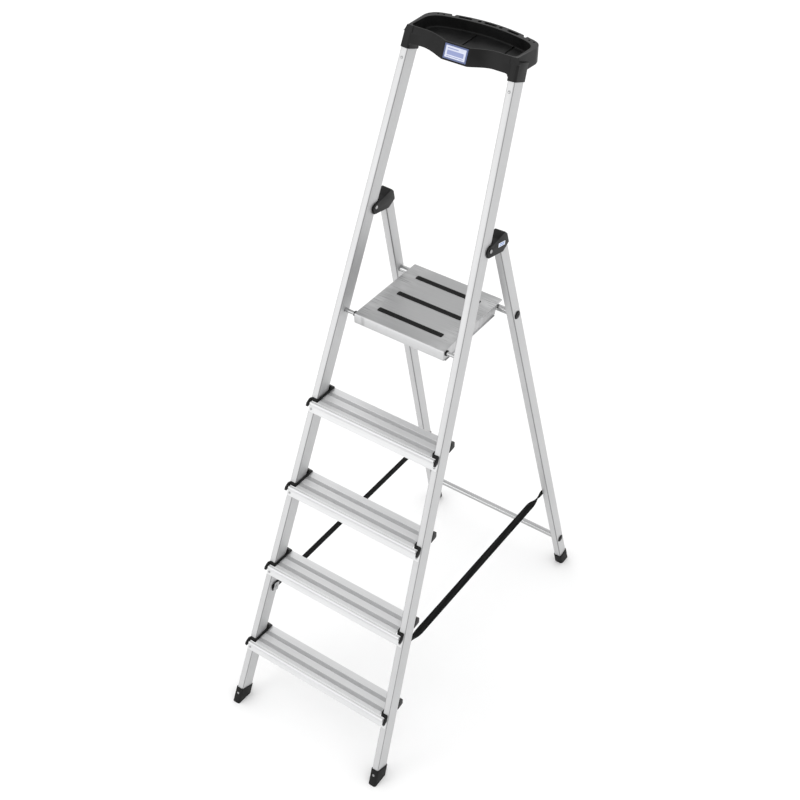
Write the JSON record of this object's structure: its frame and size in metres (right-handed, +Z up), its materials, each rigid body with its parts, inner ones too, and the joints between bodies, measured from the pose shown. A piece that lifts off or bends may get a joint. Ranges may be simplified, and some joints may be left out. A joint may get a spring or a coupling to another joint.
{
  "type": "step ladder",
  "caption": "Folding household step ladder with flat treads, a tilting platform, a rear support frame on side hinges and a tool tray on top.",
  "frame": {"origin": "on the floor, at the middle of the rectangle that the open ladder covers", "axes": "+Z up, +X to the right of a person facing the treads, +Y away from that person, towards the rear legs"},
  "size_m": [0.4612, 0.9536, 1.662],
  "materials": {
    "aluminium_tube": "satin anodised",
    "aluminium_tread": "satin, finely ribbed along its length",
    "platform_aluminium": "brushed along its width",
    "steel": "zinc plated",
    "black_plastic": "fine moulded grain",
    "black_rubber": "matte",
    "black_webbing": "plain woven band",
    "printed_label": "plain printed film"
  },
  "bodies": {
    "front_frame": {"front_stile_left": "aluminium_tube", "front_stile_right": "aluminium_tube", "tread_1": "aluminium_tread", "tread_1_end_cap_left": "black_plastic", "tread_1_end_cap_right": "black_plastic", "tread_1_rivet_left": "steel", "tread_1_rivet_right": "steel", "tread_2": "aluminium_tread", "tread_2_end_cap_left": "black_plastic", "tread_2_end_cap_right": "black_plastic", "tread_2_rivet_left": "steel", "tread_2_rivet_right": "steel", "tread_3": "aluminium_tread", "tread_3_end_cap_left": "black_plastic", "tread_3_end_cap_right": "black_plastic", "tread_3_rivet_left": "steel", "tread_3_rivet_right": "steel", "tread_4": "aluminium_tread", "tread_4_end_cap_left": "black_plastic", "tread_4_end_cap_right": "black_plastic", "tread_4_rivet_left": "steel", "tread_4_rivet_right": "steel", "tool_tray": "black_plastic", "tray_label": "printed_label", "tray_rivet_left": "steel", "tray_rivet_right": "steel", "front_foot_left": "black_rubber", "front_foot_right": "black_rubber", "front_foot_screw_left": "steel", "front_foot_screw_right": "steel", "platform_axle": "steel", "hinge_pin_left": "steel", "hinge_pin_right": "steel", "strap_left": "black_webbing", "strap_right": "black_webbing", "strap_plate_left": "steel", "strap_plate_right": "steel", "strap_front_rivet_left": "steel", "strap_front_rivet_right": "steel"},
    "rear_frame": {"rear_leg_left": "aluminium_tube", "rear_leg_right": "aluminium_tube", "rear_foot_left": "black_rubber", "rear_foot_right": "black_rubber", "hinge_housing_left": "black_plastic", "hinge_housing_right": "black_plastic", "hinge_label": "printed_label", "platform_rest_bar": "aluminium_tube", "rear_crossbar": "aluminium_tube", "rest_bar_cap_left": "black_plastic", "rest_bar_cap_right": "black_plastic", "crossbar_cap_left": "black_plastic", "crossbar_cap_right": "black_plastic", "strap_rear_rivet_left": "steel", "strap_rear_rivet_right": "steel"},
    "platform": {"platform_deck": "platform_aluminium", "platform_grip_front": "black_rubber", "platform_grip_middle": "black_rubber", "platform_grip_rear": "black_rubber"}
  },
  "joints": [
    {"name": "rear_fold", "type": "hinge", "parent": "front_frame", "child": "rear_frame", "pos_m": [0, 0.0479, 1.271], "axis": [-1, 0, 0], "range_deg": [0, 36.6], "deforming": ["strap_left", "strap_right"]},
    {"name": "platform_tilt", "type": "hinge", "parent": "front_frame", "child": "platform", "pos_m": [0, -0.05184, 1.043], "axis": [1, 0, 0], "range_deg": [0, 69]}
  ],
  "couplings": [
    {"joint": "platform_tilt", "follows": "rear_fold", "ratio": 1.88}
  ]
}
